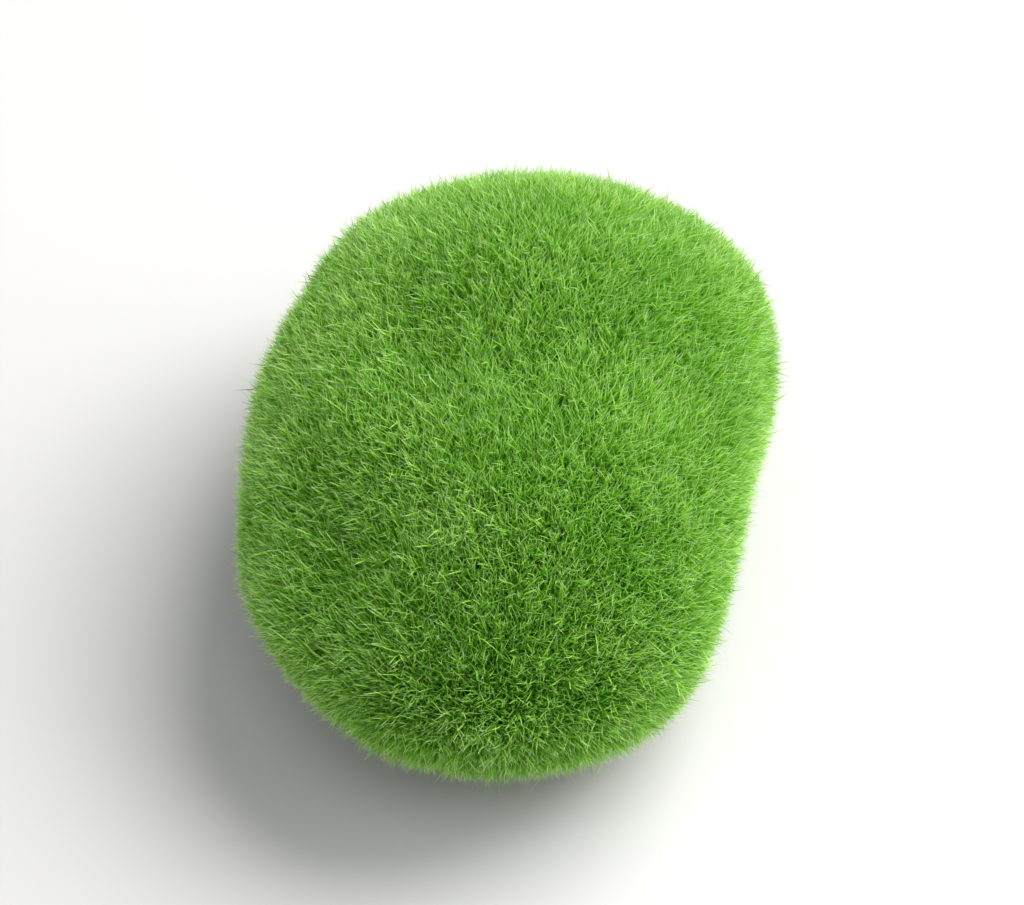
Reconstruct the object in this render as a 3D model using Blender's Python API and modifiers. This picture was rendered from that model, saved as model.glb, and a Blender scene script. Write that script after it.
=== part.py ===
"""A moss clump: one lopsided, pebble-shaped cushion of moss, pressed flat where it rests.

The solid reaches the tips of the moss fibres. Metres, +Z up. The origin is at the middle of
the clump's box, on the surface that it rests on. The clump is longer along Y than along X.
"""

import math

import bmesh
import bpy
from mathutils import Matrix, Vector

OBJECT_NAME = "moss_clump"

# The clump's box, over the tips of the fibres.
WIDTH = 0.094
LENGTH = 0.130
HEIGHT = 0.061

# How far the resting surface presses into the rounded underside.
PRESSED = 0.005
# The long axis leans off +Y towards +X by this much.
LEAN = math.radians(6)
# How full the corners are, seen from above and from the side: 2 makes an ellipse.
PLAN_FULLNESS = 2.3
SIDE_FULLNESS = 2.0

# Swellings and hollows: the way each one faces, how far it swells (part of the radius there;
# under 0 is a hollow) and the angle at which it has faded to about a third. They are put on
# before the round cage is stretched to the clump's width, length and height.
LUMPS = (
    ("back hump", (0.08, 0.36, 0.93), 0.160, math.radians(24)),
    ("saddle, left", (-0.36, -0.06, 0.93), -0.110, math.radians(12)),
    ("saddle, middle", (0.06, -0.08, 0.99), -0.125, math.radians(12)),
    ("saddle, right", (0.64, 0.00, 0.77), -0.060, math.radians(13)),
    ("front crest", (0.00, -0.42, 0.91), 0.050, math.radians(18)),
    ("front brow", (-0.22, -0.96, 0.16), 0.060, math.radians(28)),
    ("left hollow", (-0.60, -0.59, 0.53), -0.110, math.radians(14)),
    ("left crease", (-0.33, -0.49, 0.81), -0.050, math.radians(9)),
    ("left cheek", (-0.92, -0.42, 0.00), 0.060, math.radians(22)),
    ("left shoulder", (-0.96, 0.12, 0.25), 0.055, math.radians(16)),
    ("left back corner", (-0.70, 0.66, 0.25), 0.040, math.radians(16)),
    ("right back corner", (0.78, 0.54, 0.28), 0.070, math.radians(22)),
    ("right waist", (0.97, -0.18, -0.12), -0.140, math.radians(22)),
    ("left front corner", (-0.58, -0.76, -0.33), -0.025, math.radians(13)),
)

# The cage is a cube with this many cuts along each edge, and this many smoothing levels.
CAGE_CUTS = 9
SMOOTHING = 1

MOSS_GREEN = (0.125, 0.300, 0.038)
MOSS_ROUGHNESS = 0.95


def clear_scene():
    for old in list(bpy.data.objects):
        bpy.data.objects.remove(old)


def collection(name):
    made = bpy.data.collections.new(name)
    bpy.context.scene.collection.children.link(made)
    return made


def moss_material():
    material = bpy.data.materials.new("moss")
    material.use_nodes = True
    shader = material.node_tree.nodes["Principled BSDF"]
    shader.inputs["Base Color"].default_value = (*MOSS_GREEN, 1.0)
    shader.inputs["Roughness"].default_value = MOSS_ROUGHNESS
    shader.inputs["Metallic"].default_value = 0.0
    return material


def pebble_radius(way):
    """How far the surface of a pebble with half sides of 1 is, looking this way."""
    plan = (abs(way.x) ** PLAN_FULLNESS + abs(way.y) ** PLAN_FULLNESS) ** (1.0 / PLAN_FULLNESS)
    return (plan ** SIDE_FULLNESS + abs(way.z) ** SIDE_FULLNESS) ** (-1.0 / SIDE_FULLNESS)


def swelling(way):
    """The factor that the swellings and hollows put on the radius facing this way."""
    factor = 1.0
    for _name, facing, height, fade in LUMPS:
        angle = way.angle(Vector(facing))
        factor += height * math.exp(-((angle / fade) ** 2))
    return factor


def pebble_cage(name, home):
    """A coarse cage with the clump's proportions and lumps, and its Subdivision Surface."""
    cage = bmesh.new()
    bmesh.ops.create_cube(cage, size=2.0)
    bmesh.ops.subdivide_edges(cage, edges=cage.edges[:], cuts=CAGE_CUTS, use_grid_fill=True)
    for vert in cage.verts:
        way = vert.co.normalized()
        vert.co = way * pebble_radius(way) * swelling(way)
    stretch = Matrix.Diagonal((WIDTH / 2, LENGTH / 2, HEIGHT / 2))
    turn = Matrix.Rotation(-LEAN, 3, "Z")
    cage.transform((turn @ stretch).to_4x4())
    mesh = bpy.data.meshes.new(name)
    cage.to_mesh(mesh)
    cage.free()
    mesh.shade_smooth()
    piece = bpy.data.objects.new(name, mesh)
    home.objects.link(piece)
    smooth = piece.modifiers.new("Smooth", "SUBSURF")
    smooth.levels = SMOOTHING
    smooth.render_levels = SMOOTHING
    return piece


def smoothed_box(piece):
    """The low and high corners of the piece with its modifiers on."""
    bpy.context.view_layer.update()
    seen = piece.evaluated_get(bpy.context.evaluated_depsgraph_get())
    mesh = seen.to_mesh()
    low = Vector(min(vert.co[axis] for vert in mesh.vertices) for axis in range(3))
    high = Vector(max(vert.co[axis] for vert in mesh.vertices) for axis in range(3))
    seen.to_mesh_clear()
    return low, high


def fit_to_box(piece, wanted_low, wanted_high):
    """Scales and moves the cage so that the smoothed surface fills the wanted box."""
    low, high = smoothed_box(piece)
    scale = [(wanted_high[i] - wanted_low[i]) / (high[i] - low[i]) for i in range(3)]
    grow = Matrix.Diagonal(scale).to_4x4()
    move = Matrix.Translation(wanted_low) @ grow @ Matrix.Translation(-low)
    piece.data.transform(move)


def press_flat(piece, home):
    """Cuts away what the resting surface, at z = 0, presses flat."""
    side = 2 * LENGTH
    bpy.ops.mesh.primitive_cube_add(size=side, location=(0, 0, -side / 2))
    cutter = bpy.context.object
    cutter.name = "resting_surface"
    for holder in list(cutter.users_collection):
        holder.objects.unlink(cutter)
    home.objects.link(cutter)
    cutter.hide_render = True
    cutter.display_type = "WIRE"
    cut = piece.modifiers.new("Press flat", "BOOLEAN")
    cut.operation = "DIFFERENCE"
    cut.solver = "EXACT"
    cut.object = cutter


def build():
    clear_scene()
    parts = collection(OBJECT_NAME)
    cutters = collection("cutters")
    clump = pebble_cage("moss_clump", parts)
    low = Vector((-WIDTH / 2, -LENGTH / 2, -PRESSED))
    high = Vector((WIDTH / 2, LENGTH / 2, HEIGHT))
    fit_to_box(clump, low, high)
    press_flat(clump, cutters)
    clump.data.materials.append(moss_material())


build()
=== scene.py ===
"""A moss clump: a soft pebble-shaped mound of fine moss fibres, resting on a pale floor.

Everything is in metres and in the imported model's frame. The fibres are mesh: narrow tapered
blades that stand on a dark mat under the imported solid's surface and reach about as far as the
solid does.
"""

import math

import bpy
import numpy as np
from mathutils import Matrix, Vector


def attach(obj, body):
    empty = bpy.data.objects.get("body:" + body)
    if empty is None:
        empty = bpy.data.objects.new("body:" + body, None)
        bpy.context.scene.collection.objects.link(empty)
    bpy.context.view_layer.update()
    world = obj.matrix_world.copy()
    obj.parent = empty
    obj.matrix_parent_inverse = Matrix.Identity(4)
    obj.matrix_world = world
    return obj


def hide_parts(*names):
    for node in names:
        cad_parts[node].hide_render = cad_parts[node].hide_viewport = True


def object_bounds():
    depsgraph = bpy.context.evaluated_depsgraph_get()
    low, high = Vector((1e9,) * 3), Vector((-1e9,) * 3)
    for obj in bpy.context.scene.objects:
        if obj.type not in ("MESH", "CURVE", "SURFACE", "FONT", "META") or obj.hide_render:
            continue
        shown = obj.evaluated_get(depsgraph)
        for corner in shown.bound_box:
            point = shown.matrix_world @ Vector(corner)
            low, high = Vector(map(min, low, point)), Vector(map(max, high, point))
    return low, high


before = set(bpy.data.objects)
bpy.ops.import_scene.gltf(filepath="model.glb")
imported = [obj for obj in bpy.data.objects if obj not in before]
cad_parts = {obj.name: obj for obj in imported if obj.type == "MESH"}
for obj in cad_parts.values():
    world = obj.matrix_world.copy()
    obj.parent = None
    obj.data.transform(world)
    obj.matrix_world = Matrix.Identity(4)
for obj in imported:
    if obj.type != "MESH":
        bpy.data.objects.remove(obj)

CAD_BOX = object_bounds()
CLUMP = "moss_clump"
MM = 0.001
SEED = 7

# The camera looks down on the clump's front from -Y. Its sensor and lens are in millimetres.
CAMERA_RISE = math.radians(47)
CAMERA_DISTANCE = 0.70
SENSOR = 36.0
LENS = 142.0

# The mat that the fibres stand on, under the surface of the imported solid. It rises to its
# shallow depth as the normal's Z falls from the first facing to the second, almost straight down.
PILE_DEPTH = 5.4 * MM
PRESSED_DEPTH = 1.3 * MM
PRESSED_FACING = (-0.80, -0.995)

# The fibres: long ones that show, and an undercoat that fills the pile between them. Each
# blade is a point at its root, a pair of points at each bend and a point at its tip. Bends and
# widths are shares of the length and the width, rise is how pale the tip gets, that is how far
# it climbs from the painted shade at the root toward the partly painted sheen at the tip, and
# stray is how far the fibres lean at random. The counts are for one sector.
SECTORS = 5
COATS = {
    "long": {"count": 30000, "length": 6.5 * MM, "width": 0.27 * MM, "bends": (0.36, 0.70),
             "widths": (1.0, 0.72), "rise": 1.0, "stray": 0.26},
    "under": {"count": 38500, "length": 5.1 * MM, "width": 0.32 * MM, "bends": (0.60,),
              "widths": (1.0,), "rise": 0.74, "stray": 0.32},
}
# Each fibre's length and width vary by these factors. Waves are given by size and strength.
LENGTH_RANGE = (0.80, 1.12)
LENGTH_WAVES = (3.0 * MM, 0.04)
TALL_SHARE = 0.03
TALL_BY = 1.22
WIDTH_RANGE = (0.75, 1.25)

# How far the fibres lean: upwards all over, outwards to each side of the long axis, and by
# waves over the surface. Each fibre also bends at random.
UPWARD_LEAN = 0.48
PARTING = 0.44
LEAN_WAVES = ((26 * MM, 0.09), (6.0 * MM, 0.08), (2.2 * MM, 0.05))
BEND = 0.24
SWELL_RANGE = (0.7, 1.5)

# The flat underside grows fewer fibres. Those that would pass through the floor lie on it, at
# heights in this range, in millimetres.
FLAT_LEVEL = 0.2 * MM
FLAT_SHARE = 0.35
LAID_HEIGHTS = (0.05, 0.9)
LOWEST = 0.02 * MM

# Each fibre's tone: a middle value, waves over the surface and a random part.
MIDDLE_TONE = 0.5
TONE_WAVES = ((22 * MM, 0.10), (4 * MM, 0.07))
TONE_SPREAD = 0.31
TONE_LIMITS = (0.01, 0.99)
TONE_STEP = 1 / 256

# Colours from root to tip of the deepest and the palest fibres, and of the mat. Along each
# fibre the darkening toward the root is painted shade of the pile's depth, and the tip's paleness
# is partly the fibres' own colour and partly painted sheen. Deep and pale are the fibres' real
# tone, which differs at random.
DEEP_FIBRE_WITH_PAINTED_LIGHT = (
    (0.0, (0.009, 0.160, 0.0001)),
    (0.45, (0.036, 0.265, 0.0005)),
    (0.80, (0.150, 0.440, 0.014)),
    (1.0, (0.470, 0.720, 0.270)),
)
PALE_FIBRE_WITH_PAINTED_LIGHT = (
    (0.0, (0.020, 0.205, 0.0001)),
    (0.45, (0.112, 0.415, 0.001)),
    (0.80, (0.430, 0.750, 0.095)),
    (1.0, (0.860, 1.000, 0.660)),
)
MAT_COLOURS = ((0.3, (0.012, 0.140, 0.0005)), (0.7, (0.034, 0.240, 0.001)))
TRANSLUCENCY = 0.34

# The studio: lights by name, direction from the clump, power in watts and colour.
LIGHT_DISTANCE = 1.3
LIGHT_SIZE = 1.3
LIGHTS = (
    ("key", (0.70, 0.45, 0.95), 35.0, (1.0, 0.985, 0.95)),
    ("side", (1.00, 0.00, 0.50), 14.0, (1.0, 1.0, 1.0)),
    ("front", (-0.15, -0.60, 0.90), 6.5, (1.0, 1.0, 1.0)),
)
DOME_STRENGTH = 0.41
FLOOR_HALF = 3.0
FLOOR_GREY = 0.48


def unit(vectors):
    return vectors / np.maximum(np.linalg.norm(vectors, axis=-1, keepdims=True), 1e-12)


def smoothstep(low, high, value):
    t = np.clip((value - low) / (high - low), 0.0, 1.0)
    return t * t * (3.0 - 2.0 * t)


def sideways(vectors, normals):
    """The part of each vector that lies along the surface."""
    return vectors - normals * np.sum(vectors * normals, axis=1, keepdims=True)


def waves(points, size, random, count=28):
    """A smooth random field over the points, about -1 to 1, with swells of about this size."""
    ways = unit(random.normal(size=(count, 3)))
    pitch = 2 * math.pi / (size * random.uniform(*SWELL_RANGE, count))
    phase = random.uniform(0, 2 * math.pi, count)
    field = np.zeros(len(points))
    for way, rate, start in zip(ways, pitch, phase):
        field += np.sin(points @ way * rate + start)
    return field * math.sqrt(2.0 / count)


def wave_vectors(points, size, random):
    return np.stack([waves(points, size, random) for _ in range(3)], axis=1)


def clump_surface():
    """Points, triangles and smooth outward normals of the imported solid."""
    mesh = bpy.data.objects[CLUMP].data
    mesh.calc_loop_triangles()
    points = np.empty(len(mesh.vertices) * 3)
    mesh.vertices.foreach_get("co", points)
    corners = np.empty(len(mesh.loop_triangles) * 3, np.int32)
    mesh.loop_triangles.foreach_get("vertices", corners)
    points = points.reshape(-1, 3)
    _, first, index = np.unique(
        np.round(points / (0.001 * MM)), axis=0, return_index=True, return_inverse=True
    )
    points = points[first]
    triangles = index.reshape(-1)[corners.reshape(-1, 3)]
    a, b, c = (points[triangles[:, k]] for k in range(3))
    across = np.cross(b - a, c - a)
    normals = np.zeros_like(points)
    for k in range(3):
        np.add.at(normals, triangles[:, k], across)
    return points, triangles, unit(normals)


def mat_depth(normals):
    """How deep the mat lies: shallow where the clump presses on the floor, full elsewhere."""
    pressed = smoothstep(*PRESSED_FACING, normals[:, 2])
    return PILE_DEPTH + (PRESSED_DEPTH - PILE_DEPTH) * pressed


def scatter(points, triangles, normals, count, random):
    """Places spread evenly over the surface, but thinner on its flat, with their normals."""
    a, b, c = (points[triangles[:, k]] for k in range(3))
    area = np.linalg.norm(np.cross(b - a, c - a), axis=1)
    middle = (a[:, 2] + b[:, 2] + c[:, 2]) / 3
    share = area * np.where(middle < FLAT_LEVEL, FLAT_SHARE, 1.0)
    chosen = random.choice(len(triangles), size=count, p=share / share.sum())
    u, v = random.random(count), random.random(count)
    over = u + v > 1
    u[over], v[over] = 1 - u[over], 1 - v[over]
    mix = np.stack([1 - u - v, u, v], axis=1)[:, :, None]
    corner = triangles[chosen]
    return (points[corner] * mix).sum(1), unit((normals[corner] * mix).sum(1))


def grow(coat, places, normals, random):
    """The points of each fibre's line, from root to tip, and the way its flat side turns."""
    count = len(places)
    roots = places - normals * mat_depth(normals)[:, None]
    lean = np.zeros((count, 3))
    for size, strength in LEAN_WAVES:
        lean += strength * wave_vectors(places, size, random)
    lean += coat["stray"] * random.normal(size=(count, 3))
    lean[:, 0] += PARTING * places[:, 0] / CAD_BOX[1][0]
    lean[:, 2] += UPWARD_LEAN
    ways = unit(normals + sideways(lean, normals))
    bend = BEND * sideways(random.normal(size=(count, 3)), normals)
    length = coat["length"] * random.uniform(*LENGTH_RANGE, count)
    size, strength = LENGTH_WAVES
    length *= 1 + strength * waves(places, size, random)
    length[random.random(count) < TALL_SHARE] *= TALL_BY
    line = [
        roots + length[:, None] * (ways * t + bend * t * t) for t in (0.0, *coat["bends"], 1.0)
    ]
    return np.stack(line, axis=1), unit(random.normal(size=(count, 3)))


def press(line, random):
    """Fibres that would go through the floor lie along it instead."""
    lowest = random.uniform(*LAID_HEIGHTS, len(line))[:, None] * MM
    low = line[:, :, 2] < lowest
    line[:, :, 2] = np.where(low, lowest, line[:, :, 2])
    return line


def tones(places, random):
    """Each fibre's tone from 0, deep green, to 1, pale and yellowish."""
    tone = np.full(len(places), MIDDLE_TONE)
    for size, strength in TONE_WAVES:
        tone += strength * waves(places, size, random)
    return np.clip(tone + TONE_SPREAD * random.normal(size=len(places)), *TONE_LIMITS)


def blades(coat, line, flat, tone, random):
    """Points, triangles and map places of one coat's blades."""
    count, bends = len(line), len(coat["bends"])
    each = 2 * bends + 2
    width = coat["width"] * random.uniform(*WIDTH_RANGE, count)[:, None]
    points = np.empty((count, each, 3))
    points[:, 0] = line[:, 0]
    points[:, -1] = line[:, -1]
    for bend, share in enumerate(coat["widths"]):
        along = line[:, bend + 2] - line[:, bend]
        side = unit(np.cross(along, flat)) * width * share / 2
        points[:, 1 + 2 * bend] = line[:, bend + 1] - side
        points[:, 2 + 2 * bend] = line[:, bend + 1] + side
    points[:, :, 2] = np.maximum(points[:, :, 2], LOWEST)
    blade = [(0, 1, 2)]
    for bend in range(1, bends):
        left = 2 * bend - 1
        blade += [(left, left + 2, left + 3), (left, left + 3, left + 1)]
    blade.append((each - 3, each - 1, each - 2))
    triangles = np.array(blade)[None] + each * np.arange(count)[:, None, None]
    # The map's V climbs from root to tip. The colours it picks darken toward the root as painted
    # shade and whiten toward the tip partly as painted sheen.
    rise = np.array([0.0, *np.repeat(coat["bends"], 2), 1.0]) * coat["rise"]
    # A blade's two edges lie a step of tone apart, so that it has some width on its map.
    shift = np.array([0.0, *([-0.5, 0.5] * bends), 0.0]) * TONE_STEP
    spots = np.stack([tone[:, None] + shift, np.broadcast_to(rise, (count, each))], axis=2)
    return points.reshape(-1, 3), triangles.reshape(-1, 3), spots.reshape(-1, 2)


def fibre_mesh(name, parts):
    """One mesh of the coats' blades, with the map that gives each its tone and rise."""
    starts = np.cumsum([0] + [len(points) for points, _, _ in parts[:-1]])
    points = np.concatenate([part[0] for part in parts])
    triangles = np.concatenate([part[1] + start for part, start in zip(parts, starts)])
    spots = np.concatenate([part[2] for part in parts])
    corners = triangles.ravel().astype(np.int32)
    mesh = bpy.data.meshes.new(name)
    mesh.vertices.add(len(points))
    mesh.vertices.foreach_set("co", points.ravel())
    mesh.loops.add(len(corners))
    mesh.loops.foreach_set("vertex_index", corners)
    mesh.polygons.add(len(triangles))
    mesh.polygons.foreach_set("loop_start", np.arange(0, len(corners), 3, dtype=np.int32))
    mesh.polygons.foreach_set("use_smooth", np.ones(len(triangles), bool))
    for layer in ("FibreTone", "OFBake"):
        mesh.uv_layers.new(name=layer).data.foreach_set("uv", spots[corners].ravel())
    mesh.update()
    return mesh


def ramp(nodes, stops):
    node = nodes.new("ShaderNodeValToRGB")
    node.color_ramp.interpolation = "LINEAR"
    for _ in range(len(stops) - 2):
        node.color_ramp.elements.new(0.5)
    for element, (place, colour) in zip(node.color_ramp.elements, stops):
        element.position = place
        element.color = (*colour, 1.0)
    return node


def new_material(name, roughness, specular):
    material = bpy.data.materials.new(name)
    material.use_nodes = True
    shader = material.node_tree.nodes["Principled BSDF"]
    shader.inputs["Roughness"].default_value = roughness
    shader.inputs["Specular IOR Level"].default_value = specular
    return material, shader


def fibre_material():
    """The map's V gives the place between root and tip, with painted shade toward the root and
    partly painted sheen toward the tip, and its U mixes deep and pale.
    """
    material, shader = new_material("moss fibres", roughness=0.48, specular=0.16)
    nodes, links = material.node_tree.nodes, material.node_tree.links
    place = nodes.new("ShaderNodeUVMap")
    place.uv_map = "FibreTone"
    split = nodes.new("ShaderNodeSeparateXYZ")
    links.new(place.outputs["UV"], split.inputs["Vector"])
    deep = ramp(nodes, DEEP_FIBRE_WITH_PAINTED_LIGHT)
    pale = ramp(nodes, PALE_FIBRE_WITH_PAINTED_LIGHT)
    links.new(split.outputs["Y"], deep.inputs["Fac"])
    links.new(split.outputs["Y"], pale.inputs["Fac"])
    mix = nodes.new("ShaderNodeMix")
    mix.data_type = "RGBA"
    # A colour mix has its factor in socket 0, its colours in 6 and 7 and its result in 2.
    links.new(split.outputs["X"], mix.inputs[0])
    links.new(deep.outputs["Color"], mix.inputs[6])
    links.new(pale.outputs["Color"], mix.inputs[7])
    links.new(mix.outputs[2], shader.inputs["Base Color"])
    glow = nodes.new("ShaderNodeBsdfTranslucent")
    links.new(mix.outputs[2], glow.inputs["Color"])
    both = nodes.new("ShaderNodeMixShader")
    both.inputs["Fac"].default_value = TRANSLUCENCY
    links.new(shader.outputs["BSDF"], both.inputs[1])
    links.new(glow.outputs["BSDF"], both.inputs[2])
    links.new(both.outputs["Shader"], nodes["Material Output"].inputs["Surface"])
    return material


def mat_material():
    material, shader = new_material("moss mat", roughness=0.95, specular=0.1)
    nodes, links = material.node_tree.nodes, material.node_tree.links
    place = nodes.new("ShaderNodeTexCoord")
    noise = nodes.new("ShaderNodeTexNoise")
    noise.inputs["Scale"].default_value = 900.0
    noise.inputs["Detail"].default_value = 3.0
    links.new(place.outputs["Object"], noise.inputs["Vector"])
    tint = ramp(nodes, MAT_COLOURS)
    links.new(noise.outputs["Fac"], tint.inputs["Fac"])
    links.new(tint.outputs["Color"], shader.inputs["Base Color"])
    return material


def add_object(name, mesh, material):
    mesh.materials.append(material)
    made = bpy.data.objects.new(name, mesh)
    bpy.context.scene.collection.objects.link(made)
    return made


def make_mat(points, triangles, normals):
    mesh = bpy.data.meshes.new("moss_mat")
    low = points - normals * mat_depth(normals)[:, None]
    mesh.from_pydata(low.tolist(), [], triangles.tolist())
    mesh.shade_smooth()
    piece = add_object("moss_mat", mesh, mat_material())
    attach(piece, "root")
    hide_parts(CLUMP)


def make_fibres(points, triangles, normals):
    """The pile, in one piece for each sector round the clump's middle."""
    random = np.random.default_rng(SEED)
    sectors = [[] for _ in range(SECTORS)]
    for coat in COATS.values():
        count = SECTORS * coat["count"]
        places, facing = scatter(points, triangles, normals, count, random)
        line, flat = grow(coat, places, facing, random)
        line = press(line, random)
        tone = tones(places, random)
        order = np.argsort(np.arctan2(places[:, 1], places[:, 0]), kind="stable")
        for sector, chosen in zip(sectors, np.array_split(order, SECTORS)):
            part = blades(coat, line[chosen], flat[chosen], tone[chosen], random)
            sector.append(part)
    material = fibre_material()
    for number, parts in enumerate(sectors, start=1):
        name = f"moss_fibres_{number}"
        piece = add_object(name, fibre_mesh(name, parts), material)
        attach(piece, "root")


def make_floor():
    mesh = bpy.data.meshes.new("floor")
    signs = ((-1, -1), (1, -1), (1, 1), (-1, 1))
    corners = [(x * FLOOR_HALF, y * FLOOR_HALF, 0) for x, y in signs]
    mesh.from_pydata(corners, [], [(0, 1, 2, 3)])
    material, shader = new_material("white floor", roughness=0.7, specular=0.2)
    shader.inputs["Base Color"].default_value = (FLOOR_GREY, FLOOR_GREY, FLOOR_GREY, 1.0)
    add_object("floor", mesh, material)


def make_lights(target):
    for name, way, power, colour in LIGHTS:
        data = bpy.data.lights.new(name, "AREA")
        data.shape = "DISK"
        data.size = LIGHT_SIZE
        data.energy = power
        data.color = colour
        light = bpy.data.objects.new(name, data)
        light.location = target + Vector(way).normalized() * LIGHT_DISTANCE
        turn = (target - light.location).to_track_quat("-Z", "Y")
        light.rotation_euler = turn.to_euler()
        bpy.context.scene.collection.objects.link(light)


def make_world():
    """An even white studio dome."""
    world = bpy.data.worlds.new("studio")
    world.use_nodes = True
    background = world.node_tree.nodes["Background"]
    background.inputs["Color"].default_value = (1.0, 1.0, 1.0, 1.0)
    background.inputs["Strength"].default_value = DOME_STRENGTH
    bpy.context.scene.world = world


def make_camera(target):
    data = bpy.data.cameras.new("camera")
    data.sensor_width = SENSOR
    data.lens = LENS
    data.clip_start = 0.01
    camera = bpy.data.objects.new("camera", data)
    away = Vector((0.0, -math.cos(CAMERA_RISE), math.sin(CAMERA_RISE)))
    camera.location = target + away * CAMERA_DISTANCE
    camera.rotation_euler = (-away).to_track_quat("-Z", "Y").to_euler()
    bpy.context.scene.collection.objects.link(camera)
    bpy.context.scene.camera = camera


def build():
    low, high = (Vector(corner) for corner in CAD_BOX)
    target = (low + high) / 2
    make_camera(target)
    surface = clump_surface()
    make_mat(*surface)
    make_fibres(*surface)
    make_floor()
    make_lights(target)
    make_world()
    bpy.context.scene.view_settings.view_transform = "Standard"


build()
